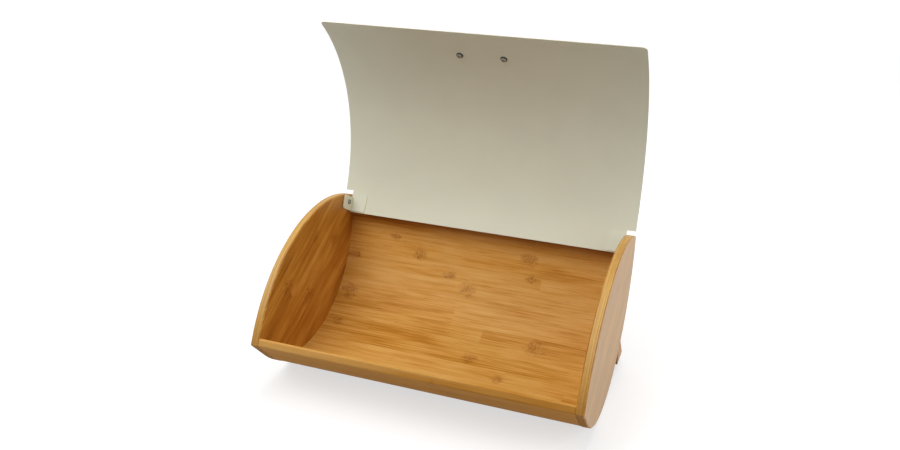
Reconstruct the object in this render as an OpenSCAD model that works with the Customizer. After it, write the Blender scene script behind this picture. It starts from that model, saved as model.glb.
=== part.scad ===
// Curved countertop bread box: two leaf-shaped end panels, one curved board
// that makes floor and back, a rear rail on soft pads, and a curved sheet lid
// that swings up on two screws. Millimetres, +Z up, front towards -Y.
// Origin: on the table, in the middle of the space it takes with the lid open.

/* [Box] */
// outer width over both end panels
box_w = 400; // [360:1:440]
// height of the top arc above the table
box_h = 181; // [179:0.5:183]
// thickness of each end panel
panel_t = 10; // [9:0.5:13]
// radius of the lower arc behind its lowest line
rear_r = 153; // [151:0.5:156]
// radius of the lower arc in front of its lowest line
nose_r = 122; // [120:0.5:124]
// radius of the top arc that the lid closes on
top_r = 201; // [198:0.5:204]
// distance of the top arc's highest line behind the lowest line
top_y = 62; // [60:0.5:64]
// direction in which the lower front arc ends and the flat up to the nose tip begins
flat_deg = -138.5; // [-140:0.5:-137]
// how much is taken off the end panel's sharp nose tip
tip_cut = 0.5; // [0.2:0.1:0.5]
// thickness of the curved board
board_t = 10; // [9.5:0.5:12]
// how far the curved board stands in from the edges of the end panels
board_inset = 0.5; // [0.2:0.1:1]
// rounding of the board's front upper edge
arris_r = 3; // [1.5:0.25:3.5]
// rounding of the board's front lower edge
lip_r = 2.5; // [1:0.25:3]
// chamfer on the edges of the end panels
edge_c = 1.2; // [0.5:0.1:2]

/* [Lid] */
// thickness of the lid sheet
lid_t = 0.8; // [0.6:0.1:1.2]
// gap between the end panels' top edges and the closed lid
lid_gap = 0.4; // [0.3:0.1:1]
// distance of the closed lid's free edge from the nose tip, along the arc
lid_setback = 13; // [11:0.2:14]
// distance of the closed lid's shoulders from the end panels' rear peak, along the arc
shoulder_set = 39.2; // [38.6:0.1:42]
// distance of the closed lid's tail end from the end panels' rear peak, along the arc
tail_set = 9.4; // [8.2:0.1:10.6]
// side gap between the lid's tail and each end panel
tail_side = 0.9; // [0.6:0.1:2]
// corner radius at the free edge
lid_corner = 7; // [3:0.5:12]
// angle the lid is open in the rest pose
open_deg = 100.6; // [98:0.2:101]

/* [Hinge] */
// distance of the hinge axis from the end panels' rear peak, along the top arc
pivot_set = 21.7; // [20.8:0.1:22.6]
// depth of the hinge axis below the top arc
pivot_drop = 10.4; // [10:0.1:11]
// diameter of the hinge screw's shank
pivot_d = 4; // [3:0.5:5]
// diameter of the hinge screw's head
pivot_head_d = 6.5; // [6:0.5:8]
// height of the hinge screw's head
pivot_head_h = 1.8; // [1.2:0.2:2.6]
// wood left between the hinge screw's bore and the end panel's outer face
pivot_wall = 2; // [1:0.5:3]
// thickness of the spacer washer beside each end panel
washer_t = 0.8; // [0.5:0.1:1]
// outer diameter of the spacer washer
washer_d = 10; // [9:0.5:12]
// thickness of the hinge bracket
bracket_t = 1.2; // [1:0.1:1.6]
// width of the bracket plate that lies on the lid
bracket_w = 22; // [16:1:28]
// corner radius of the bracket plate
plate_r = 5; // [2:0.5:6]
// reach of the bracket's leg beyond the hinge axis
leg_in = 15; // [11:0.5:16]
// reach of the bracket's leg towards the tail
leg_tail = 11; // [9:0.5:11]
// reach of the bracket's leg towards the lid's free edge
leg_nose = 8; // [7:0.5:9]
// rounding of the leg's free corners
leg_r = 4; // [2:0.5:5]
// radial play of the hinge screw in the bracket
pivot_play = 0.05; // [0.03:0.01:0.1]
// play along the width between the hinge's layers
side_play = 0.1; // [0.05:0.01:0.15]
// clearance round the swinging tail in the top of the board
tail_clear = 0.6; // [0.4:0.1:1]

/* [Handle] */
// distance between the handle's two screws
screw_pitch = 56; // [48:1:64]
// distance of the handle's screws from the lid's free edge, along the arc
screw_set = 46.5; // [40:0.5:55]
// length of the handle
handle_l = 84; // [76:1:96]
// width of the handle along the lid
handle_w = 14; // [12:0.5:18]
// height of the handle above the lid
handle_h = 26; // [24:0.5:30]
// thickness of the handle's grip above the finger gap
grip_t = 11; // [9:0.5:12]
// length of the finger gap
gap_l = 40; // [36:1:44]
// rounding of the finger gap's outer corners
gap_r = 5; // [3:0.5:8]
// diameter of the handle screw's shank
screw_d = 4; // [3:0.5:5]
// diameter of the handle screw's head
screw_head_d = 6.6; // [6:0.2:8]
// height of the handle screw's head
screw_head_h = 2; // [1.4:0.2:2.6]
// depth of the handle's screws in the handle
screw_in = 14; // [10:0.5:18]
// outer diameter of the washer under the screw's head
screw_washer_d = 8.6; // [8:0.2:10]
// thickness of the washer under the screw's head
screw_washer_t = 0.8; // [0.6:0.1:1.2]

/* [Rear rail] */
// distance of the rail's front face behind the lowest line
rail_front = 88; // [84:1:92]
// distance of the rail's rear lower edge behind the lowest line
rail_rear = 120; // [116:1:124]
// height of the rail above the pads, before it is fitted to the board
rail_h = 36; // [32:1:40]
// how far the rail's rear face leans forwards over that height
rail_lean = 27; // [24:1:30]
// height of the soft pads under the rail
pad_h = 9; // [6:0.5:11]
// diameter of the soft pads
pad_d = 20; // [16:0.5:20]
// distance of the pad's middle from the outer face of the end panel
pad_set = 11; // [10.5:0.5:20]
// distance of the pad's middle from the rail's rear lower edge
pad_back = 11; // [10.5:0.5:16]
// diameter of the rail's screws
rail_screw_d = 4; // [3:0.5:5]
// length of the rail's screws under the head
rail_screw_l = 20; // [18:1:24]
// depth of the rail's screws in the board
rail_screw_in = 7; // [5:0.5:8]
// height of the heads of the rail's screws
rail_head_h = 2.5; // [2:0.1:3]
// diameter of the pads' screws
pad_screw_d = 3.5; // [3:0.1:4]
// diameter of the heads of the pads' screws
pad_head_d = 6.8; // [6:0.2:7.4]
// height of the heads of the pads' screws
pad_head_h = 2.2; // [1.8:0.1:2.6]
// depth of the pads' screws in the rail
pad_screw_in = 12; // [8:1:14]

/* [Dowels] */
// diameter of the dowels between board and end panels
dowel_d = 6; // [5:0.5:6]
// depth of each dowel in the end panel
dowel_panel = 6; // [5:0.5:7]
// depth of each dowel in the board
dowel_board = 12; // [8:1:16]

/* [Hidden] */
fit = 0.05;
eps = 0.01;
lap = 0.03;
big = 900;
half_w = box_w / 2;
edge_w = panel_t / 2 + 1;
in_x = half_w - panel_t;
top_z = box_h - top_r;
board_ro = rear_r - board_inset;
board_ri = board_ro - board_t;
nose_ro = nose_r - board_inset;
nose_ri = nose_ro - board_t;
lid_ri = top_r + lid_gap;
lid_ro = lid_ri + lid_t;
// nose tip: where the flat, tangent to the lower front arc, meets the top arc
flat_u = [cos(flat_deg), sin(flat_deg)];
flat_v = [sin(flat_deg), -cos(flat_deg)];
flat_p = [-top_y, nose_r - top_z] + nose_r * flat_u;
tip_p = along_flat(flat_p, top_r);
tip_y = top_y + tip_p[0];
// rear peak: where the lower rear arc meets the top arc
peak_l = norm([top_y, rear_r - top_z]);
peak_c = (top_r * top_r + peak_l * peak_l - rear_r * rear_r) / (2 * top_r * peak_l);
peak_deg = atan2(rear_r - top_z, -top_y) - acos(peak_c);
// directions seen from the top arc's centre, lid closed
arc_deg = 180 / (PI * top_r);
edge_deg = atan2(tip_p[1], tip_p[0]) - lid_setback * arc_deg;
screw_deg = edge_deg - screw_set * arc_deg;
shoulder_deg = peak_deg + shoulder_set * arc_deg;
pivot_deg = peak_deg + pivot_set * arc_deg;
tail_deg = peak_deg + tail_set * arc_deg;
// hinge axis
piv_y = top_y + (top_r - pivot_drop) * cos(pivot_deg);
piv_z = top_z + (top_r - pivot_drop) * sin(pivot_deg);
// hinge layers, counted from the end panel's inner face
leg_x = in_x - washer_t - side_play;
tail_x = in_x - tail_side;
head_x = leg_x - bracket_t - side_play;
// reach of the tail's far corner from the hinge axis
tail_ry = top_y + lid_ro * cos(tail_deg) - piv_y;
tail_rz = top_z + lid_ro * sin(tail_deg) - piv_z;
tail_reach = sqrt(tail_ry * tail_ry + tail_rz * tail_rz);
// middle of the space it takes, from the nose tip to the open lid
open_cy = piv_y + (top_y - piv_y) * cos(open_deg) + (top_z - piv_z) * sin(open_deg);
mid_y = (tip_y + tip_cut + open_cy + lid_ro) / 2;
leg_reach = sqrt(pow(leg_in - leg_r, 2) + pow(leg_tail - leg_r, 2)) + leg_r;
sweep_r = max(tail_reach, leg_reach) + tail_clear;
plate_a0 = pivot_deg - leg_tail * arc_deg;
plate_a1 = shoulder_deg - 3.5 * arc_deg;
rail_deg = atan2(pad_h - rear_r, (rail_front + rail_rear) / 2);
pad_y = rail_rear - pad_back;
// the board's front end is cut on this arc
board_top_r = top_r - board_inset;
// middle of the board's thickness, where the dowels sit
board_rm = board_ro - board_t / 2;
nose_rm = nose_ro - board_t / 2;
dowel_rear = [-72, -44, -16];
dowel_nose = [-112, -138];
// screw heads: eased rim, driver recess and play under the head
head_ease = 0.6;
drive_depth = 1.1;
seat_gap = 0.1;
head_gap = screw_washer_t + 1.5 * seat_gap;
$fn = 96;

// where the flat's direction, followed from p, meets a circle about the top arc's centre
function along_flat(p, r) = p + (sqrt(pow(p * flat_v, 2) - p * p + r * r) - p * flat_v) * flat_v;

// centre of a rounding of radius r, in from the top arc and at a distance off the front arc's centre
function rounding_at(off, r) = along_flat([-top_y, nose_r - top_z] + off * flat_u, board_top_r - r);

// puts a piece, drawn from the lowest line of the lower arcs, in its place
module placed()
    translate([0, -mid_y, 0])
        children();

// cylinder along X about the line (y, z)
module bar_x(r, len, y, z)
    translate([0, y, z])
        rotate([0, 90, 0])
            cylinder(h = len, r = r, center = true, $fn = 360);

// disc whose rim is chamfered at the end panel's faces
module eased_disc(r, y, z)
    translate([0, y, z])
        rotate([0, 90, 0])
            rotate_extrude($fn = 360)
                polygon([[0, -edge_w], [r - edge_c - 1, -edge_w], [r, edge_c - panel_t / 2],
                    [r, panel_t / 2 - edge_c], [r - edge_c - 1, edge_w], [0, edge_w]]);

// turns a block's underside onto the flat under the nose
module on_flat()
    translate([0, 0, nose_r])
        rotate([flat_deg - 270, 0, 0])
            children();

// block above the flat, its lower edges chamfered at the end panel's faces
module eased_flat()
    on_flat()
        rotate([90, 0, 0])
            linear_extrude(height = big, center = true)
                polygon([[-edge_w, big], [-edge_w, edge_c + 1 - nose_r], [edge_c - panel_t / 2, -nose_r],
                    [panel_t / 2 - edge_c, -nose_r], [edge_w, edge_c + 1 - nose_r], [edge_w, big]]);

// box around what lies under the front arc, from the flat to the lowest line
module front_box(r, len)
    translate([-len / 2, r * cos(flat_deg), -10])
        cube([len, -r * cos(flat_deg), 10 + nose_r - r / 2]);

// region above the floor's outline: rear arc, front arc and flat
module floor_block(rr, nr, len)
    difference() {
        intersection() {
            bar_x(rr, len, 0, rear_r);
            on_flat()
                translate([-len / 2 - 1, -big / 2, -nr])
                    cube([len + 2, big, big]);
        }
        difference() {
            front_box(nr, len + 4);
            bar_x(nr, len + 8, 0, nose_r);
        }
    }

// slab along X with a side outline given as [y, z] points
module side_shape(len, points)
    translate([-len / 2, 0, 0])
        rotate([90, 0, 90])
            linear_extrude(height = len)
                polygon(points);

// wedge about a centre between two directions
module wedge(len, y, z, a0, a1, r)
    side_shape(len, [[y, z],
        for (i = [0 : 4]) [y + r * cos(a0 + (a1 - a0) * i / 4), z + r * sin(a0 + (a1 - a0) * i / 4)]]);

// moves what is drawn with the lid closed into the open rest pose
module opened()
    translate([0, piv_y, piv_z])
        rotate([-open_deg, 0, 0])
            translate([0, -piv_y, -piv_z])
                children();

// moves children to a point of the lid's arc: +Y points outwards
module on_arc(deg)
    translate([0, top_y, top_z])
        rotate([deg, 0, 0])
            children();

// cross recess for a driver, cut upwards into a screw head whose face is z = 0
module drive_cut(d)
    for (a = [0, 90])
        rotate([0, 0, a])
            intersection() {
                translate([-d, -0.075 * d, -1])
                    cube([2 * d, 0.15 * d, 1 + drive_depth]);
                translate([0, 0, -1])
                    cylinder(h = 2 + drive_depth, r1 = 0.40 * d, r2 = 0.10 * d, $fn = 48);
            }

// dowels of one side, grown by a clearance
module dowel_set(side, grow, panel_len, board_len) {
    for (a = dowel_rear)
        translate([side * in_x, board_rm * cos(a), rear_r + board_rm * sin(a)])
            rotate([0, side * 90, 0])
                translate([0, 0, -board_len])
                    cylinder(h = board_len + panel_len, r = dowel_d / 2 + grow, $fn = 48);
    for (a = dowel_nose)
        translate([side * in_x, nose_rm * cos(a), nose_r + nose_rm * sin(a)])
            rotate([0, side * 90, 0])
                translate([0, 0, -board_len])
                    cylinder(h = board_len + panel_len, r = dowel_d / 2 + grow, $fn = 48);
}

module panel(side)
    difference() {
        translate([side * (half_w - panel_t / 2), 0, 0])
            difference() {
                intersection() {
                    translate([-panel_t / 2, tip_y + tip_cut, -10])
                        cube([panel_t, big, big]);
                    eased_disc(top_r, top_y, top_z);
                    eased_disc(rear_r, 0, rear_r);
                    eased_flat();
                }
                difference() {
                    front_box(nose_r, panel_t + 4);
                    eased_disc(nose_r, 0, nose_r);
                }
            }
        dowel_set(side, fit, dowel_panel + 0.5, dowel_board);
        translate([side * (in_x - 1), piv_y, piv_z])
            rotate([0, side * 90, 0])
                cylinder(h = panel_t + 1 - pivot_wall, r = pivot_d / 2 + fit, $fn = 48);
    }

module end_panel_left()
    color([0.80, 0.60, 0.34])
        placed()
            panel(-1);

module end_panel_right()
    color([0.80, 0.60, 0.34])
        placed()
            panel(1);

// what a rounding takes off the board's front end: way is -1 for its upper edge, 1 for its lower edge
module round_front(r, way) {
    off = way < 0 ? nose_ri + r : nose_ro - r;
    out = rounding_at(off, r) / norm(rounding_at(off, r));
    at = rounding_at(off, r) + [top_y, top_z];
    difference() {
        side_shape(box_w, [at, at + 2 * r * out, at + 4 * r * (out + way * flat_u), at + 2 * r * way * flat_u]);
        bar_x(r, box_w + 2, at[0], at[1]);
    }
}

// one curved board: floor and back, its front end cut on the top arc
module curved_board()
    color([0.78, 0.54, 0.26])
        placed()
            difference() {
                intersection() {
                    floor_block(board_ro, nose_ro, 2 * in_x);
                    bar_x(board_top_r, box_w, top_y, top_z);
                }
                floor_block(board_ri, nose_ri, box_w);
                bar_x(sweep_r, box_w, piv_y, piv_z);
                round_front(arris_r, -1);
                round_front(lip_r, 1);
                for (s = [-1, 1])
                    dowel_set(s, fit, dowel_panel, dowel_board + 0.5);
                rail_screw_set(fit, 0);
            }

module dowels_left()
    color([0.86, 0.74, 0.52])
        placed()
            dowel_set(-1, 0, dowel_panel, dowel_board);

module dowels_right()
    color([0.86, 0.74, 0.52])
        placed()
            dowel_set(1, 0, dowel_panel, dowel_board);

// puts children at the tips of the rail's screws, +Z towards their heads
module at_rail_screws()
    for (x = [-0.6 * in_x, 0, 0.6 * in_x])
        translate([x, 0, rear_r])
            rotate([rail_deg, 0, 0])
                translate([0, board_ro - rail_screw_in, 0])
                    rotate([-90, 0, 0])
                        children();

// screws that hold the rail to the board, or the room for them
module rail_screw_set(grow, more)
    at_rail_screws() {
        translate([0, 0, -grow])
            cylinder(h = rail_screw_l + grow, r = rail_screw_d / 2 + grow, $fn = 48);
        translate([0, 0, rail_screw_l - more * eps])
            cylinder(h = rail_head_h + more, r = rail_screw_d + grow, $fn = 48);
    }

module rear_rail()
    color([0.76, 0.60, 0.40])
        placed()
            difference() {
                side_shape(box_w, [[rail_front, pad_h], [rail_rear, pad_h],
                    [rail_rear - rail_lean, pad_h + rail_h], [rail_front, pad_h + rail_h]]);
                bar_x(board_ro + fit, box_w + 2, 0, rear_r);
                for (s = [-1, 1]) {
                    translate([s * (half_w - panel_t / 2 + 1), 0, 0])
                        bar_x(rear_r + fit, panel_t + 2, 0, rear_r);
                    translate([s * (half_w - pad_set), pad_y, pad_h - 1])
                        cylinder(h = pad_screw_in + 1.5, r = pad_screw_d / 2 + fit, $fn = 48);
                }
                rail_screw_set(fit, rail_rear);
            }

module rail_screws()
    color([0.70, 0.70, 0.72])
        placed()
            difference() {
                rail_screw_set(0, 0);
                at_rail_screws()
                    translate([0, 0, rail_screw_l + rail_head_h])
                        rotate([180, 0, 0])
                            drive_cut(2 * rail_screw_d);
            }

module pad(side)
    translate([side * (half_w - pad_set), pad_y, 0])
        difference() {
            cylinder(h = pad_h, r1 = pad_d / 2 - 1, r2 = pad_d / 2, $fn = 96);
            translate([0, 0, -1])
                cylinder(h = pad_h + 2, r = pad_screw_d / 2 + fit, $fn = 48);
            translate([0, 0, -1])
                cylinder(h = pad_h / 2 + 1, r = pad_head_d / 2 + 0.6, $fn = 48);
        }

module foot_pad_left()
    color([0.06, 0.06, 0.06])
        placed()
            pad(-1);

module foot_pad_right()
    color([0.06, 0.06, 0.06])
        placed()
            pad(1);

module pad_screws()
    color([0.70, 0.70, 0.72])
        placed()
            for (s = [-1, 1])
                translate([s * (half_w - pad_set), pad_y, pad_h / 2 - pad_head_h])
                    difference() {
                        union() {
                            cylinder(h = pad_head_h, r = pad_head_d / 2, $fn = 48);
                            translate([0, 0, pad_head_h])
                                cylinder(h = pad_h / 2 + pad_screw_in, r = pad_screw_d / 2, $fn = 48);
                        }
                        drive_cut(pad_head_d);
                    }

module pivot_screw(side)
    translate([side * head_x, piv_y, piv_z])
        rotate([0, side * 90, 0])
            difference() {
                union() {
                    translate([0, 0, -pivot_head_h])
                        cylinder(h = head_ease, r1 = pivot_head_d / 2 - head_ease, r2 = pivot_head_d / 2);
                    translate([0, 0, head_ease - pivot_head_h])
                        cylinder(h = pivot_head_h - head_ease, r = pivot_head_d / 2);
                    cylinder(h = half_w - pivot_wall - 0.5 - head_x, r = pivot_d / 2, $fn = 48);
                }
                translate([0, 0, -pivot_head_h])
                    drive_cut(pivot_head_d);
            }

module pivot_screw_left()
    color([0.72, 0.72, 0.72])
        placed()
            pivot_screw(-1);

module pivot_screw_right()
    color([0.72, 0.72, 0.72])
        placed()
            pivot_screw(1);

module pivot_washer(side)
    translate([side * in_x, piv_y, piv_z])
        rotate([0, side * 90, 0])
            translate([0, 0, -washer_t])
                difference() {
                    cylinder(h = washer_t, r = washer_d / 2, $fn = 64);
                    translate([0, 0, -1])
                        cylinder(h = washer_t + 2, r = pivot_d / 2 + fit, $fn = 48);
                }

module pivot_washer_left()
    color([0.93, 0.93, 0.90])
        placed()
            pivot_washer(-1);

module pivot_washer_right()
    color([0.93, 0.93, 0.90])
        placed()
            pivot_washer(1);

// what a rounding takes off a sheet's corner at x, towards the free edge: way is the corner's side
module corner_cut(deg, x, way, r)
    on_arc(deg)
        translate([x - way * (r - lap), top_r, lap - r])
            rotate([-90, 0, 0])
                translate([0, 0, -r])
                    difference() {
                        translate([way < 0 ? -2 * r : 0, -2 * r, 0])
                            cube([2 * r, 2 * r, 2 * r]);
                        translate([0, 0, -1])
                            rotate([0, 0, 90])
                                cylinder(h = 2 * r + 2, r = r, $fn = 64);
                    }

// full-width sheet in front of the shoulders, narrower tail behind them
module lid_sheet()
    color([0.86, 0.84, 0.74])
        placed()
            opened()
                difference() {
                    intersection() {
                        difference() {
                            bar_x(lid_ro, box_w, top_y, top_z);
                            bar_x(lid_ri, box_w + 2, top_y, top_z);
                        }
                        wedge(box_w + 4, top_y, top_z, tail_deg, edge_deg, 2 * lid_ro);
                    }
                    for (s = [-1, 1]) {
                        translate([s * (tail_x + panel_t), 0, 0])
                            wedge(2 * panel_t, top_y, top_z, tail_deg - 5, shoulder_deg, 2 * lid_ro);
                        corner_cut(edge_deg, s * half_w, s, lid_corner);
                        on_arc(screw_deg)
                            translate([s * screw_pitch / 2, lid_ri - 5, 0])
                                rotate([-90, 0, 0])
                                    cylinder(h = 10, r = screw_d / 2 + fit, $fn = 48);
                    }
                }

module bracket(side)
    opened() {
        // plate on the lid
        intersection() {
            difference() {
                bar_x(lid_ri - fit, box_w, top_y, top_z);
                bar_x(lid_ri - fit - bracket_t, box_w, top_y, top_z);
                corner_cut(plate_a1, side * (leg_x - bracket_w), -side, plate_r);
            }
            wedge(box_w, top_y, top_z, plate_a0, plate_a1, 2 * lid_ro);
            translate([side > 0 ? leg_x - bracket_w : -leg_x, 0, 0])
                cube([bracket_w, big, big]);
        }
        // leg beside the end panel
        intersection() {
            bar_x(lid_ri - fit, box_w, top_y, top_z);
            difference() {
                translate([side > 0 ? leg_x - bracket_t : -leg_x, piv_y, piv_z])
                    rotate([pivot_deg, 0, 0])
                        union() {
                            translate([0, leg_r - leg_in, -leg_tail])
                                cube([bracket_t, leg_in + 2 * pivot_drop, leg_tail + leg_nose]);
                            translate([0, -leg_in, leg_r - leg_tail])
                                cube([bracket_t, leg_in, leg_tail + leg_nose - 2 * leg_r]);
                            for (z = [leg_r - leg_tail, leg_nose - leg_r])
                                translate([0, leg_r - leg_in, z])
                                    rotate([0, 90, 0])
                                        cylinder(h = bracket_t, r = leg_r, $fn = 64);
                        }
                translate([0, piv_y, piv_z])
                    rotate([0, 90, 0])
                        cylinder(h = box_w, r = pivot_d / 2 + pivot_play, center = true, $fn = 48);
            }
        }
    }

module hinge_bracket_left()
    color([0.88, 0.86, 0.76])
        placed()
            bracket(-1);

module hinge_bracket_right()
    color([0.88, 0.86, 0.76])
        placed()
            bracket(1);

// arched grip on the outside of the lid
module handle()
    color([0.80, 0.60, 0.34])
        placed()
            opened()
                difference() {
                    on_arc(screw_deg)
                        translate([0, lid_ri, 0])
                            difference() {
                                intersection() {
                                    translate([-handle_l / 2, 0, -handle_w / 2])
                                        cube([handle_l, lid_t + handle_h, handle_w]);
                                    union() {
                                        for (s = [-1, 1])
                                            translate([s * (handle_l / 2 - handle_h), lid_t, 0])
                                                cylinder(h = 2 * handle_w, r = handle_h, center = true);
                                        translate([handle_h - handle_l / 2, 0, -handle_w])
                                            cube([handle_l - 2 * handle_h, lid_t + handle_h, 2 * handle_w]);
                                    }
                                }
                                translate([-gap_l / 2, -1, -handle_w])
                                    cube([gap_l, 1 + lid_t + handle_h - grip_t - gap_r, 2 * handle_w]);
                                translate([gap_r - gap_l / 2, -1, -handle_w])
                                    cube([gap_l - 2 * gap_r, 1 + lid_t + handle_h - grip_t, 2 * handle_w]);
                                for (s = [-1, 1])
                                    translate([s * (gap_l / 2 - gap_r), lid_t + handle_h - grip_t - gap_r, 0])
                                        cylinder(h = 2 * handle_w, r = gap_r, center = true, $fn = 64);
                                for (s = [-1, 1])
                                    translate([s * screw_pitch / 2, 0, 0])
                                        rotate([-90, 0, 0])
                                            cylinder(h = lid_t + screw_in + 1, r = screw_d / 2 + fit, $fn = 48);
                            }
                    bar_x(lid_ro + fit, box_w, top_y, top_z);
                }

module handle_screws()
    color([0.75, 0.75, 0.75])
        placed()
            opened()
                for (s = [-1, 1])
                    on_arc(screw_deg)
                        translate([s * screw_pitch / 2, lid_ri - head_gap, 0])
                            rotate([-90, 0, 0])
                                difference() {
                                    union() {
                                        cylinder(h = head_gap + lid_t + screw_in, r = screw_d / 2, $fn = 48);
                                        translate([0, 0, head_ease - screw_head_h])
                                            cylinder(h = screw_head_h - head_ease, r = screw_head_d / 2);
                                        translate([0, 0, -screw_head_h])
                                            cylinder(h = head_ease, r1 = screw_head_d / 2 - head_ease, r2 = screw_head_d / 2);
                                    }
                                    translate([0, 0, -screw_head_h])
                                        drive_cut(screw_head_d);
                                }

module handle_washers()
    color([0.35, 0.35, 0.35])
        placed()
            opened()
                for (s = [-1, 1])
                    on_arc(screw_deg)
                        translate([s * screw_pitch / 2, lid_ri - seat_gap, 0])
                            rotate([90, 0, 0])
                                difference() {
                                    cylinder(h = screw_washer_t, r = screw_washer_d / 2, $fn = 64);
                                    translate([0, 0, -1])
                                        cylinder(h = screw_washer_t + 2, r = screw_d / 2 + fit, $fn = 48);
                                }

end_panel_left();
end_panel_right();
curved_board();
dowels_left();
dowels_right();
rear_rail();
rail_screws();
foot_pad_left();
foot_pad_right();
pad_screws();
pivot_screw_left();
pivot_screw_right();
pivot_washer_left();
pivot_washer_right();
lid_sheet();
hinge_bracket_left();
hinge_bracket_right();
handle();
handle_screws();
handle_washers();
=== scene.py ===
import math

import bpy
from mathutils import Matrix, Vector


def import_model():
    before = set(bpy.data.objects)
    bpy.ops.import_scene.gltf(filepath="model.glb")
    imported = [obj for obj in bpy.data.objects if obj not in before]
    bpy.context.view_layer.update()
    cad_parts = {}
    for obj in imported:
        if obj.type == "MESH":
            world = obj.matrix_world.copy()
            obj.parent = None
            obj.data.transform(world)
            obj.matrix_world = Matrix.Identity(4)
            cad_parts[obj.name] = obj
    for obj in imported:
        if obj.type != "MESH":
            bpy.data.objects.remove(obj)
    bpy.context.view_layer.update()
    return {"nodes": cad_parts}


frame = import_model()
NODES = frame["nodes"]


# --- places on the part that its materials follow, in metres, in the part's frame ---
SHIFT_Y = -0.0258772                # the part's centring along Y
REAR_CENTRE = (SHIFT_Y, 0.153)      # centre of the board's rear bend, as (y, z)
REAR_R = 0.147                      # radius at which lengths round that bend are taken
LEAF_TILT = math.radians(26)        # slope of the end panels' grain
LEAF_SHIFT = 0.3                    # keeps lengths across that grain positive
PANEL_SKIN = (0.1975, 0.1990)       # from the middle to the end panels' outer faces, which get a painted sheen
NOSE_Z = (0.115, 0.055)             # the panels' rims get browner down to the nose
LID_SHADOW_Z = (0.100, 0.155)        # painted shadow of the lid: the board's inside gets browner up to its top
RAW_AND_PAINTED_UNDER_Y = (0.03, -0.05)         # the board's underside turns raw towards the front, with painted light there
RAW_AND_PAINTED_LIP_Y = (-0.124, -0.132)        # the board's front face is raw, with painted light and shade
PAINTED_SHADE_X = (-0.19, 0.06)               # painted shade: the raw wood gets browner to the right
LID_CENTRE = (-0.059245, 0.257333)  # centre of the open lid's arc, as (y, z)


# --- camera: the photograph's viewing angle ---
CAMERA_AT = (0.336365, -0.9089282, 0.636510)
RIGHT = Vector((0.937191, 0.348817, 0.0))
UP = Vector((-0.144074, 0.387092, 0.910715))
LENS = 35.866
SENSOR = 36.0


# --- light and surroundings ---
WHITE = (1, 1, 1, 1)
AIM = (0, 0, 0.12)
LAMPS = [                           # name, place, side in metres, watts
    ("key", (-0.55, -0.65, 1.35), 0.9, 11.2),
    ("top", (0, 0, 1.6), 0.8, 5.0),
    ("back", (0, 0.9, 1.2), 0.8, 6.5),
    ("side", (1.2, 0, 0.6), 0.8, 4.5),
]
SKY_LIGHT = 0.30
SKY_SHOWN = 1.0                     # 1 is white
FLOOR_GREY = (0.46, 0.46, 0.46, 1)
FLOOR_GLOW = {"From Min": 0.5, "From Max": 2.5,     # distance from the middle, metres
              "To Min": 0.64, "To Max": 0.90}       # strength of the glow there
FLOOR_R = 9                         # metres
FLOOR_SIDES = 96


def srgb(r, g, b):
    """A colour given as 0-255 sRGB numbers, as linear values."""
    out = []
    for c in (r, g, b):
        c /= 255
        out.append(c / 12.92 if c <= 0.04045 else ((c + 0.055) / 1.055) ** 2.4)
    return (*out, 1.0)


def dimmed(colour, share):
    return tuple(c * share for c in colour[:3]) + (1.0,)


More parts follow.
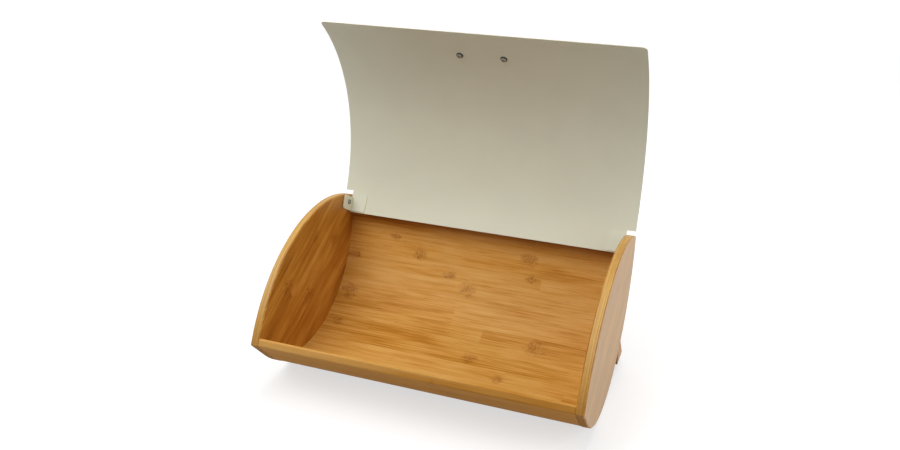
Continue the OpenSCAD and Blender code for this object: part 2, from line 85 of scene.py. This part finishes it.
class Graph:
    """A node material with short calls for the nodes used here."""

    def __init__(self, name, specular=0.5):
        self.mat = bpy.data.materials.new(name)
        self.mat.use_nodes = True
        self.tree = self.mat.node_tree
        self.shader = self.tree.nodes["Principled BSDF"]
        self.shader.inputs["Specular IOR Level"].default_value = specular
        coordinates = self.node("ShaderNodeTexCoord")
        self.normal = coordinates.outputs["Normal"]
        self.place = coordinates.outputs["Object"]
        split = self.node("ShaderNodeSeparateXYZ", Vector=self.place)
        self.x, self.y, self.z = split.outputs

    def node(self, kind, **inputs):
        made = self.tree.nodes.new(kind)
        for key, value in inputs.items():
            self.put(made.inputs[key.replace("_", " ")], value)
        return made

    def put(self, socket, value):
        if isinstance(value, bpy.types.NodeSocket):
            self.tree.links.new(value, socket)
        else:
            socket.default_value = value

    def math(self, operation, *values):
        made = self.tree.nodes.new("ShaderNodeMath")
        made.operation = operation
        for socket, value in zip(made.inputs, values):
            self.put(socket, value)
        return made.outputs[0]

    def add(self, a, b):
        return self.math("ADD", a, b)

    def mul(self, a, b):
        return self.math("MULTIPLY", a, b)

    def total(self, *terms):
        """The sum of (weight, value) pairs."""
        out = self.mul(terms[0][1], terms[0][0])
        for weight, value in terms[1:]:
            out = self.math("MULTIPLY_ADD", value, weight, out)
        return out

    def length(self, a, b):
        return self.math("SQRT", self.add(self.mul(a, a), self.mul(b, b)))

    def ramp(self, value, start, end):
        """0 up to start, 1 from end on, smooth between."""
        made = self.node("ShaderNodeMapRange", Value=value, From_Min=start, From_Max=end)
        made.interpolation_type = "SMOOTHSTEP"
        return made.outputs["Result"]

    def facing(self, axis):
        """The normal's part along an axis, in the piece's own frame."""
        return self.node("ShaderNodeSeparateXYZ", Vector=self.normal).outputs[axis]

    def noise(self, vector, scale=1.0, detail=2.0, rough=0.5, warp=0.0):
        made = self.node("ShaderNodeTexNoise", Vector=vector, Scale=scale, Detail=detail,
                         Roughness=rough, Distortion=warp)
        return made.outputs["Fac"]

    def grain(self, turns, u, v, w=None, **settings):
        """Noise drawn out along the grain. turns: how many in a metre, along and across."""
        along, across = turns
        deep = 0.0 if w is None else self.mul(w, across)
        place = self.node("ShaderNodeCombineXYZ", X=self.mul(u, along), Y=self.mul(v, across),
                          Z=deep)
        return self.noise(place.outputs[0], **settings)

    def random(self, value):
        made = self.tree.nodes.new("ShaderNodeTexWhiteNoise")
        made.noise_dimensions = "1D"
        self.put(made.inputs["W"], value)
        return made.outputs["Value"]

    def blend(self, factor, a, b):
        made = self.tree.nodes.new("ShaderNodeMix")
        made.data_type = "RGBA"
        colour_a, colour_b, colour_out = made.inputs[6], made.inputs[7], made.outputs[2]
        self.put(made.inputs["Factor"], factor)
        self.put(colour_a, a)
        self.put(colour_b, b)
        return colour_out

    def colours(self, value, *stops):
        """A colour ramp of (place, colour) stops."""
        made = self.tree.nodes.new("ShaderNodeValToRGB")
        ramp = made.color_ramp
        while len(ramp.elements) < len(stops):
            ramp.elements.new(0.5)
        for element, (place, colour) in zip(ramp.elements, stops):
            element.position = place
            element.color = colour
        self.put(made.inputs["Fac"], value)
        return made.outputs["Color"]

    def bump(self, height, distance, strength):
        made = self.node("ShaderNodeBump", Height=height, Distance=distance, Strength=strength)
        return made.outputs["Normal"]

    def finish(self, colour, roughness, normal, metallic=0.0):
        self.put(self.shader.inputs["Base Color"], colour)
        self.put(self.shader.inputs["Roughness"], roughness)
        self.put(self.shader.inputs["Normal"], normal)
        self.shader.inputs["Metallic"].default_value = metallic
        return self.mat


# --- bamboo: lengths in metres, patterns in turns in a metre (along, across the grain) ---
STRIP = 0.0205              # width of the glued strips
LENGTH = 0.85               # usual length of a strip between its butt joints
SEAM = 0.0004               # half the width of a glue line
KNOT = 0.0085               # half the length of a usual joint scar
WANDER = 0.003              # how far the grain wanders sideways
STAGGER = 5.0               # most strips that a row's butt joints are moved by
ROW_SEED = 17.3             # gives strips at the same place in two rows other tones
STRETCH = 3.7               # how far apart in the wood two strips may be cut
FIBRE_DEPTH = 0.00006
WAVE = (5, 8)
HAIR = (20, 1500)
FIBRE = (16, 500)
STREAK = (9, 150)
CLOUD = (10, 30)
FLECK = (60, 1000)
KNOT_BLUR = (110, 160)
KNOT_SWIRL = (190, 90)
PLIES = (8, 520)

DARK = srgb(156, 94, 22)
MID = srgb(191, 130, 44)
LIGHT = srgb(213, 157, 76)
PALE = srgb(225, 177, 102)
SCAR = srgb(132, 60, 6)
PLY_DARK = srgb(182, 132, 60)
PLY_MID = srgb(206, 160, 84)
PLY_PALE = srgb(222, 182, 106)
NOSE_BROWN = srgb(150, 98, 36)
# painted sheen on the end panels' outer faces
PAINTED_SHEEN_TAN = srgb(216, 182, 132)
# painted shadow of the lid on the board's inside
PAINTED_LID_SHADOW = srgb(120, 60, 10)
# painted light and shade on the board's raw front strip: lighter to the left and underneath,
# browner to the right
PAINTED_LIT_LEFT = srgb(206, 156, 90)
PAINTED_SHADE_RIGHT = srgb(170, 112, 44)
PAINTED_LIGHT_UNDER = srgb(228, 158, 72)


def bamboo(name, along, across, depth, knots=(), faces=None, gloss=0.3, painted_light_shift=0.0):
    """Laminated bamboo. along, across and depth turn a Graph into lengths in metres."""
    g = Graph(name, gloss)
    u, v, w = along(g), across(g), depth(g)
    near, line = knot_marks(g, u, v, knots)
    v = g.math("MULTIPLY_ADD", g.grain(WAVE, u, v, detail=1), WANDER, v)

    # each row has butt joints of its own, and each strip a tone and a stretch of grain
    row = g.math("FLOOR", g.mul(v, 1 / STRIP))
    start = g.math("MULTIPLY_ADD", g.random(row), STAGGER, g.mul(u, 1 / LENGTH))
    tone = g.random(g.math("MULTIPLY_ADD", row, ROW_SEED, g.math("FLOOR", start)))
    u = g.math("MULTIPLY_ADD", tone, STRETCH, u)

    hair = g.grain(HAIR, u, v, w, detail=2, rough=0.6)
    fibre = g.grain(FIBRE, u, v, w, detail=3, rough=0.6)
    streak = g.grain(STREAK, u, v, w, detail=3, rough=0.55)
    cloud = g.grain(CLOUD, u, v, detail=2)
    shade = g.total((0.26, hair), (0.29, fibre), (0.17, streak), (0.25, cloud), (0.07, tone))
    # painted light and shade: the shift makes a whole material lighter (the board) or darker
    # (the panels)
    shade = g.add(shade, painted_light_shift - 0.02)

    colour = g.colours(shade, (0.38, DARK), (0.47, MID), (0.55, LIGHT), (0.66, PALE))
    fleck = g.grain(FLECK, u, v, w, detail=2)
    colour = g.blend(g.mul(g.ramp(fleck, 0.64, 0.74), 0.34), colour, SCAR)
    seam = g.math("PINGPONG", v, STRIP / 2)
    colour = g.blend(g.mul(g.ramp(seam, SEAM, 0.0), 0.14), colour, SCAR)
    if knots:
        colour = g.blend(g.mul(near, 0.20), colour, SCAR)
        colour = g.blend(g.mul(g.mul(near, line), 0.70), colour, SCAR)

    rough = g.add(g.total((0.10, cloud), (0.14, fibre)), 0.30)
    if faces is not None:
        colour, rough = faces(g, colour, rough)
    height = g.total((0.4, hair), (0.6, fibre))
    return g.finish(colour, rough, g.bump(height, FIBRE_DEPTH, 0.6))


def knot_marks(g, u, v, knots):
    """Wavy scars where the bamboo's joints were, at (along, across, size) places in metres."""
    if not knots:
        return None, None
    near = 0.0
    blur = g.grain(KNOT_BLUR, u, v, detail=2)
    for at_u, at_v, grow in knots:
        du = g.mul(g.add(u, -at_u), 1 / (KNOT * grow))
        dv = g.mul(g.add(v, -at_v), 1 / (KNOT * grow * 0.8))
        far = g.math("MULTIPLY_ADD", blur, 2.4, g.length(du, dv))
        near = g.math("MAXIMUM", near, g.ramp(far, 2.7, 1.5))
    swirl = g.grain(KNOT_SWIRL, u, v, detail=1, warp=1.5)
    line = g.ramp(g.math("PINGPONG", g.mul(swirl, 5.0), 0.5), 0.24, 0.06)
    return near, line


def panel_faces(g, colour, rough):
    """Rims show the plies' edges, browner near the nose; the outer faces are paler with a
    painted sheen.
    """
    run, across = PLIES
    place = g.node("ShaderNodeCombineXYZ", X=g.mul(g.x, across), Y=g.mul(g.y, run),
                   Z=g.mul(g.z, run))
    ply = g.noise(place.outputs[0], detail=3)
    tone = g.colours(ply, (0.36, PLY_DARK), (0.50, PLY_MID), (0.66, PLY_PALE))
    low = g.ramp(g.z, *NOSE_Z)
    tone = g.blend(g.mul(low, 0.75), tone, NOSE_BROWN)
    flat = g.math("ABSOLUTE", g.facing(0))
    edge = g.ramp(flat, 0.75, 0.55)
    colour = g.blend(g.mul(edge, 0.75), colour, tone)
    rough = g.math("MULTIPLY_ADD", g.mul(edge, low), 0.45, rough)
    # painted sheen: the outer faces are blended halfway to a pale tan, as they look reflecting
    # white surroundings
    outer = g.ramp(g.math("ABSOLUTE", g.x), *PANEL_SKIN)
    outer = g.mul(outer, g.ramp(flat, 0.75, 0.95))
    return g.blend(g.mul(outer, 0.50), colour, PAINTED_SHEEN_TAN), rough


def board_faces(g, colour, rough):
    """A painted shadow of the lid browns the inside near its top; lacquer is thinner on the
    raw front strip, whose colour is painted light and shade.
    """
    # painted shadow: the inside faces are browned up to the top, where the lid's shadow falls
    top = g.mul(g.ramp(g.z, *LID_SHADOW_Z), g.ramp(g.facing(1), 0.0, -0.4))
    colour = g.blend(g.mul(top, 0.75), colour, PAINTED_LID_SHADOW)
    under = g.mul(g.ramp(g.facing(2), -0.10, -0.40), g.ramp(g.y, *RAW_AND_PAINTED_UNDER_Y))
    lip = g.mul(g.ramp(g.facing(1), -0.30, -0.55), g.ramp(g.y, *RAW_AND_PAINTED_LIP_Y))
    raw = g.math("MAXIMUM", under, lip)
    # painted light and shade on the raw strip: lighter to the left, browner to the right, and
    # lighter still on the underside
    tone = g.blend(g.ramp(g.x, *PAINTED_SHADE_X), PAINTED_LIT_LEFT, PAINTED_SHADE_RIGHT)
    tone = g.blend(g.mul(under, 0.8), tone, PAINTED_LIGHT_UNDER)
    colour = g.blend(g.mul(raw, 0.62), colour, tone)
    g.put(g.shader.inputs["Coat Weight"], g.math("MULTIPLY_ADD", raw, -0.12, 0.32))
    g.shader.inputs["Coat Roughness"].default_value = 0.42
    g.shader.inputs["Coat IOR"].default_value = 1.38
    return colour, g.math("MULTIPLY_ADD", raw, 0.35, rough)


def at_x(g):
    return g.x


def at_y(g):
    return g.y


def at_z(g):
    return g.z


def round_board(g):
    """Length round the board's rear bend, 0 at the bottom, to the rear positive."""
    dy = g.add(g.y, -REAR_CENTRE[0])
    dz = g.math("SUBTRACT", REAR_CENTRE[1], g.z)
    return g.mul(g.math("ARCTAN2", dy, dz), REAR_R)


def board_depth(g):
    return g.length(g.add(g.y, -REAR_CENTRE[0]), g.add(g.z, -REAR_CENTRE[1]))


def up_leaf(g):
    return g.total((math.cos(LEAF_TILT), g.y), (math.sin(LEAF_TILT), g.z))


def over_leaf(g):
    return g.add(g.total((-math.sin(LEAF_TILT), g.y), (math.cos(LEAF_TILT), g.z)), LEAF_SHIFT)


def leaf_place(y, z, size):
    """A knot on the end panels, as (up the grain, over it, size)."""
    c, s = math.cos(LEAF_TILT), math.sin(LEAF_TILT)
    return (c * y + s * z, c * z - s * y + LEAF_SHIFT, size)


BOARD_KNOTS = [             # along X, round the board, size
    (-0.174, 0.104, 1.2), (-0.171, 0.094, 0.9), (-0.172, 0.050, 0.8), (-0.179, 0.155, 0.9),
    (-0.122, 0.189, 0.7), (-0.084, 0.170, 1.0), (-0.038, 0.147, 0.9), (-0.008, 0.133, 1.2),
    (0.068, 0.187, 1.1), (0.075, 0.160, 0.8), (0.024, 0.030, 1.1), (0.100, 0.067, 1.5),
    (0.070, 0.001, 1.0), (0.030, -0.135, 1.0), (-0.120, -0.040, 1.0), (0.150, -0.080, 0.9),
]
PANEL_KNOTS = [
    leaf_place(-0.066, 0.111, 1.2), leaf_place(-0.020, 0.075, 1.4),
    leaf_place(0.060, 0.120, 1.0), leaf_place(0.010, 0.145, 0.8),
]


# --- paint, steel, plastic, rubber ---
PAINT_DUST = srgb(168, 162, 138)
# painted highlight on the lid sheet's cut rims
PAINTED_RIM_HIGHLIGHT = srgb(244, 236, 218)


def satin_paint(name, colour, centre=None):
    """Satin paint; with the sheet's arc centre, its cut rims get a painted highlight, paler in
    patches, and are smoother.
    """
    g = Graph(name, specular=0.30)
    broad = g.noise(g.place, scale=14)
    grain = g.noise(g.place, scale=900)
    peel = g.noise(g.place, scale=420, detail=1)
    soft = g.blend(g.ramp(broad, 0.30, 0.70), colour, dimmed(colour, 0.965))
    soft = g.blend(g.mul(g.ramp(grain, 0.55, 0.80), 0.10), soft, PAINT_DUST)
    rough = g.add(g.total((0.10, broad), (0.06, grain)), 0.40)
    if centre is not None:
        dy, dz = g.add(g.y, -centre[0]), g.add(g.z, -centre[1])
        broadside = g.add(g.mul(g.facing(1), dy), g.mul(g.facing(2), dz))
        broadside = g.math("ABSOLUTE", g.math("DIVIDE", broadside, g.length(dy, dz)))
        # painted highlight: the sheet's cut rims are blended in patches towards a pale cream
        rim_highlight = g.mul(g.ramp(broadside, 0.85, 0.5), g.ramp(broad, 0.2, 0.5))
        soft = g.blend(g.mul(rim_highlight, 0.8), soft, PAINTED_RIM_HIGHLIGHT)
        rough = g.math("MULTIPLY_ADD", rim_highlight, -0.08, rough)
    return g.finish(soft, rough, g.bump(g.total((0.7, peel), (0.3, grain)), 0.00005, 0.5))


def zinc(name, colour):
    g = Graph(name)
    ring = g.noise(g.place, scale=2600)
    stain = g.noise(g.place, scale=420, detail=3)
    shade = g.blend(g.ramp(stain, 0.35, 0.75), colour, dimmed(colour, 0.8))
    rough = g.add(g.total((0.18, stain), (0.08, ring)), 0.24)
    return g.finish(shade, rough, g.bump(ring, 0.00002, 0.4), metallic=1.0)


def moulded(name, colour, smoothest, grit=0.00004):
    """Cloudy, finely gritty surface of a plastic, a rubber or a turned dowel."""
    g = Graph(name)
    cloud = g.noise(g.place, scale=60)
    grain = g.noise(g.place, scale=1800)
    pale = tuple(min(1.0, c * 1.25 + 0.01) for c in colour[:3]) + (1.0,)
    shade = g.blend(g.ramp(cloud, 0.3, 0.8), colour, pale)
    rough = g.add(g.total((0.10, grain), (0.06, cloud)), smoothest)
    return g.finish(shade, rough, g.bump(grain, grit, 0.5))


MATERIALS = {
    # the board gets painted light and the panels painted shade, through their shifts
    "board": bamboo("bamboo board", at_x, round_board, board_depth, BOARD_KNOTS,
                    board_faces, gloss=0.0, painted_light_shift=0.045),
    "panel": bamboo("bamboo panel", up_leaf, over_leaf, at_x, PANEL_KNOTS,
                    panel_faces, painted_light_shift=-0.042),
    "bar": bamboo("bamboo bar", at_x, at_y, at_z),
    "dowel": moulded("raw dowel", srgb(214, 182, 130), 0.60),
    "sheet": satin_paint("satin paint on the sheet", srgb(223, 223, 202), LID_CENTRE),
    "paint": satin_paint("satin paint", srgb(225, 226, 206)),
    "zinc": zinc("bright zinc", srgb(152, 150, 142)),
    "nylon": moulded("nylon", srgb(232, 231, 222), 0.42),
    "dark": moulded("dark plastic", srgb(64, 62, 58), 0.45),
    "rubber": moulded("rubber", srgb(26, 25, 24), 0.70, 0.0001),
}

FINISHES = {
    "end_panel_left": "panel", "end_panel_right": "panel", "curved_board": "board",
    "dowels_left": "dowel", "dowels_right": "dowel", "rear_rail": "bar", "handle": "bar",
    "rail_screws": "zinc", "pad_screws": "zinc", "handle_screws": "zinc",
    "pivot_screw_left": "zinc", "pivot_screw_right": "zinc",
    "foot_pad_left": "rubber", "foot_pad_right": "rubber",
    "pivot_washer_left": "nylon", "pivot_washer_right": "nylon",
    "lid_sheet": "sheet", "hinge_bracket_left": "paint", "hinge_bracket_right": "paint",
    "handle_washers": "dark",
}

for name, finish in FINISHES.items():
    piece = NODES[name]
    if not piece.material_slots:
        piece.data.materials.append(MATERIALS[finish])
    for slot in piece.material_slots:
        slot.material = MATERIALS[finish]


# --- floor, backdrop, lamps and camera ---
def seen_directly(tree):
    """1 for camera, glossy and transmission rays, which are shown the white background."""
    path = tree.nodes.new("ShaderNodeLightPath")
    seen = path.outputs["Is Camera Ray"]
    for name in ("Is Glossy Ray", "Is Transmission Ray"):
        most = tree.nodes.new("ShaderNodeMath")
        most.operation = "MAXIMUM"
        tree.links.new(seen, most.inputs[0])
        tree.links.new(path.outputs[name], most.inputs[1])
        seen = most.outputs[0]
    return seen


def pick_seen(tree, hidden, shown, out):
    """Gives out the shader shown where it is seen directly, and hidden to all other rays."""
    pick = tree.nodes.new("ShaderNodeMixShader")
    tree.links.new(seen_directly(tree), pick.inputs["Fac"])
    tree.links.new(hidden, pick.inputs[1])
    tree.links.new(shown, pick.inputs[2])
    tree.links.new(pick.outputs[0], out.inputs["Surface"])


def floor_material():
    """Pale floor: it carries the shadow, and shows white to the camera where it is lit."""
    mat = bpy.data.materials.new("pale floor")
    mat.use_nodes = True
    tree = mat.node_tree
    tree.nodes.clear()
    out = tree.nodes.new("ShaderNodeOutputMaterial")
    paint = tree.nodes.new("ShaderNodeBsdfDiffuse")
    paint.inputs["Color"].default_value = FLOOR_GREY
    glow = tree.nodes.new("ShaderNodeEmission")
    place = tree.nodes.new("ShaderNodeTexCoord")
    away = tree.nodes.new("ShaderNodeVectorMath")
    away.operation = "LENGTH"
    fade = tree.nodes.new("ShaderNodeMapRange")
    for key, value in FLOOR_GLOW.items():
        fade.inputs[key].default_value = value
    both = tree.nodes.new("ShaderNodeAddShader")
    tree.links.new(place.outputs["Object"], away.inputs[0])
    tree.links.new(away.outputs["Value"], fade.inputs["Value"])
    tree.links.new(fade.outputs["Result"], glow.inputs["Strength"])
    tree.links.new(paint.outputs[0], both.inputs[0])
    tree.links.new(glow.outputs[0], both.inputs[1])
    pick_seen(tree, paint.outputs[0], both.outputs[0], out)
    return mat


def floor():
    mesh = bpy.data.meshes.new("floor")
    angles = [math.tau * i / FLOOR_SIDES for i in range(FLOOR_SIDES)]
    ring = [(FLOOR_R * math.cos(a), FLOOR_R * math.sin(a), 0) for a in angles]
    mesh.from_pydata(ring, [], [list(range(FLOOR_SIDES))])
    made = bpy.data.objects.new("floor", mesh)
    made.data.materials.append(floor_material())
    bpy.context.collection.objects.link(made)
    return made


def world():
    """Even pale surroundings; the camera sees them white."""
    sky = bpy.data.worlds.new("studio")
    bpy.context.scene.world = sky
    sky.use_nodes = True
    tree = sky.node_tree
    tree.nodes.clear()
    out = tree.nodes.new("ShaderNodeOutputWorld")
    parts = []
    for strength in (SKY_LIGHT, SKY_SHOWN):
        made = tree.nodes.new("ShaderNodeBackground")
        made.inputs["Color"].default_value = WHITE
        made.inputs["Strength"].default_value = strength
        parts.append(made.outputs[0])
    pick_seen(tree, *parts, out)


def softbox(name, at, side, power):
    data = bpy.data.lights.new(name, "AREA")
    data.shape = "RECTANGLE"
    data.size = data.size_y = side
    data.energy = power
    made = bpy.data.objects.new(name, data)
    made.location = at
    made.rotation_euler = (Vector(AIM) - Vector(at)).to_track_quat("-Z", "Y").to_euler()
    bpy.context.collection.objects.link(made)
    return made


def camera():
    data = bpy.data.cameras.new("camera")
    data.lens = LENS
    data.sensor_width = SENSOR
    made = bpy.data.objects.new("camera", data)
    back = RIGHT.cross(UP)
    turn = Matrix((RIGHT, UP, back)).transposed()
    made.matrix_world = Matrix.Translation(CAMERA_AT) @ turn.to_4x4()
    bpy.context.collection.objects.link(made)
    bpy.context.scene.camera = made


floor()
world()
for lamp in LAMPS:
    softbox(*lamp)
camera()
bpy.context.scene.view_settings.view_transform = "Standard"
